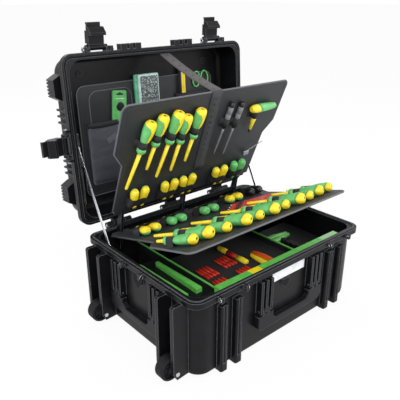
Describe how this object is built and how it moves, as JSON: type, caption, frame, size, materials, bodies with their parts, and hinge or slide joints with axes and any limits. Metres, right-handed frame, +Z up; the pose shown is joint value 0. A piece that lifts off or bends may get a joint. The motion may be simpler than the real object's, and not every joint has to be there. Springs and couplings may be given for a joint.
{
  "type": "rolling tool case",
  "caption": "Open wheeled hard case with hinged lid, latches, folding handles and hinged boards full of hand tools.",
  "frame": {"origin": "on the floor, under the centre of the base's rim", "axes": "+Z up, front with the latches towards -Y, wheels at the -X end"},
  "size_m": [0.7284, 0.5747, 0.7281],
  "materials": {
    "case_plastic": "satin",
    "label": "satin",
    "steel": "brushed",
    "seal_rubber": "matte",
    "board": "matte",
    "leather_black": "satin",
    "pocket": "satin",
    "webbing": "matte",
    "loop_elastic": "matte",
    "divider_plastic": "matte",
    "insert_foam": "matte",
    "red_insulation": "gloss",
    "green_plastic": "gloss",
    "yellow_plastic": "gloss",
    "pale_green": "gloss",
    "rule_yellow": "gloss",
    "tool_steel": "brushed",
    "wheel_plastic": "satin"
  },
  "bodies": {
    "base": {"base_shell": "case_plastic", "label_plate": "label", "padlock_rings_base": "steel", "hinge_pins": "steel", "wheel_axles": "steel", "pivot_pins": "steel", "pull_bushes": "case_plastic", "stay_plates": "steel", "board_posts": "case_plastic", "board_flap": "leather_black", "dividers": "divider_plastic", "side_trays": "divider_plastic", "bit_insert": "insert_foam", "insulated_set": "red_insulation", "cable_knife": "tool_steel", "spirit_level": "green_plastic", "level_vials": "yellow_plastic", "green_tools": "green_plastic", "socket_rail": "divider_plastic"},
    "lid": {"lid_shell": "case_plastic", "lid_seal": "seal_rubber", "padlock_rings_lid": "steel", "latch_pins": "steel", "stay_rails": "steel", "lid_panel": "leather_black", "lid_pockets": "pocket", "tester": "green_plastic", "bit_box": "pale_green", "folding_rule": "rule_yellow", "scissors": "green_plastic", "strap_span": "webbing"},
    "upper_tool_board": {"upper_board": "board", "upper_grips": "green_plastic", "upper_cores": "yellow_plastic", "upper_slim_drivers": "tool_steel", "upper_pliers": "yellow_plastic", "upper_loops": "loop_elastic", "strap_on_board": "webbing"},
    "lower_tool_board": {"lower_board": "board", "lower_grips": "green_plastic", "lower_cores": "yellow_plastic", "lower_pliers": "yellow_plastic", "lower_red_drivers": "red_insulation", "lower_loops": "loop_elastic"},
    "stays": {"stay_arms": "steel"},
    "front_carry_handle": {"front_handle": "case_plastic"},
    "end_carry_handle": {"end_handle": "case_plastic"},
    "front_wheel": {"wheel_front": "wheel_plastic"},
    "rear_wheel": {"wheel_rear": "wheel_plastic"},
    "pull_handle": {"pull_tubes": "steel", "pull_grip": "case_plastic"},
    "release_button": {"pull_button": "case_plastic"},
    "latch_body_front_left": {"latch_front_left": "case_plastic"},
    "latch_lever_front_left": {"lever_front_left": "case_plastic"},
    "latch_body_front_right": {"latch_front_right": "case_plastic"},
    "latch_lever_front_right": {"lever_front_right": "case_plastic"},
    "latch_body_side_left": {"latch_side_left": "case_plastic"},
    "latch_lever_side_left": {"lever_side_left": "case_plastic"},
    "latch_body_side_right": {"latch_side_right": "case_plastic"},
    "latch_lever_side_right": {"lever_side_right": "case_plastic"}
  },
  "joints": [
    {"name": "lid_hinge", "type": "hinge", "parent": "base", "child": "lid", "pos_m": [0, 0.2325, 0.212], "axis": [1, 0, 0], "range_deg": [0, 93.8], "deforming": ["strap_span"]},
    {"name": "upper_board_hinge", "type": "hinge", "parent": "base", "child": "upper_tool_board", "pos_m": [0, 0.176, 0.271], "axis": [1, 0, 0], "range_deg": [0, 67.6]},
    {"name": "lower_board_hinge", "type": "hinge", "parent": "base", "child": "lower_tool_board", "pos_m": [0, 0.188, 0.2034], "axis": [1, 0, 0], "range_deg": [0, 16]},
    {"name": "stay_fold", "type": "hinge", "parent": "base", "child": "stays", "pos_m": [0, 0.14, 0.203], "axis": [1, 0, 0], "range_deg": [0, 116.81]},
    {"name": "front_handle_fold", "type": "hinge", "parent": "base", "child": "front_carry_handle", "pos_m": [0, -0.2155, 0.112], "axis": [-1, 0, 0], "range_deg": [0, 95]},
    {"name": "end_handle_fold", "type": "hinge", "parent": "base", "child": "end_carry_handle", "pos_m": [-0.2915, 0, 0.112], "axis": [0, 1, 0], "range_deg": [0, 95]},
    {"name": "front_wheel_spin", "type": "hinge", "parent": "base", "child": "front_wheel", "pos_m": [-0.311, -0.146, 0.029], "axis": [0, 1, 0], "continuous": true},
    {"name": "rear_wheel_spin", "type": "hinge", "parent": "base", "child": "rear_wheel", "pos_m": [-0.311, 0.146, 0.029], "axis": [0, 1, 0], "continuous": true},
    {"name": "pull_handle_slide", "type": "slide", "parent": "base", "child": "pull_handle", "axis": [1, 0, 0], "range_m": [0, 0.36]},
    {"name": "release_button_press", "type": "slide", "parent": "pull_handle", "child": "release_button", "axis": [-1, 0, 0], "range_m": [0, 0.003], "stiffness_N_per_m": 400},
    {"name": "latch_swing_front_left", "type": "hinge", "parent": "lid", "child": "latch_body_front_left", "pos_m": [-0.19, 0.27692, 0.66956], "axis": [1, 0, 0], "range_deg": [-24, 84]},
    {"name": "lever_lift_front_left", "type": "hinge", "parent": "latch_body_front_left", "child": "latch_lever_front_left", "pos_m": [-0.19, 0.2868, 0.68595], "axis": [-1, 0, 0], "range_deg": [0, 50]},
    {"name": "latch_swing_front_right", "type": "hinge", "parent": "lid", "child": "latch_body_front_right", "pos_m": [0.19, 0.27692, 0.66956], "axis": [1, 0, 0], "range_deg": [-24, 84]},
    {"name": "lever_lift_front_right", "type": "hinge", "parent": "latch_body_front_right", "child": "latch_lever_front_right", "pos_m": [0.19, 0.2868, 0.68595], "axis": [-1, 0, 0], "range_deg": [0, 50]},
    {"name": "latch_swing_side_left", "type": "hinge", "parent": "lid", "child": "latch_body_side_left", "pos_m": [-0.305, 0.26188, 0.44306], "axis": [0, 0.0663, 0.9978], "range_deg": [-24, 84]},
    {"name": "lever_lift_side_left", "type": "hinge", "parent": "latch_body_side_left", "child": "latch_lever_side_left", "pos_m": [-0.32201, 0.27063, 0.44248], "axis": [0, -0.0663, -0.9978], "range_deg": [0, 50]},
    {"name": "latch_swing_side_right", "type": "hinge", "parent": "lid", "child": "latch_body_side_right", "pos_m": [0.305, 0.26188, 0.44306], "axis": [0, -0.0663, -0.9978], "range_deg": [-24, 84]},
    {"name": "lever_lift_side_right", "type": "hinge", "parent": "latch_body_side_right", "child": "latch_lever_side_right", "pos_m": [0.32201, 0.27063, 0.44248], "axis": [0, 0.0663, 0.9978], "range_deg": [0, 50]}
  ],
  "couplings": [
    {"joint": "upper_board_hinge", "follows": "lid_hinge", "ratio": 0.72068},
    {"joint": "lower_board_hinge", "follows": "lid_hinge", "ratio": 0.17058},
    {"joint": "stay_fold", "follows": "lid_hinge", "ratio": 1.2453}
  ]
}
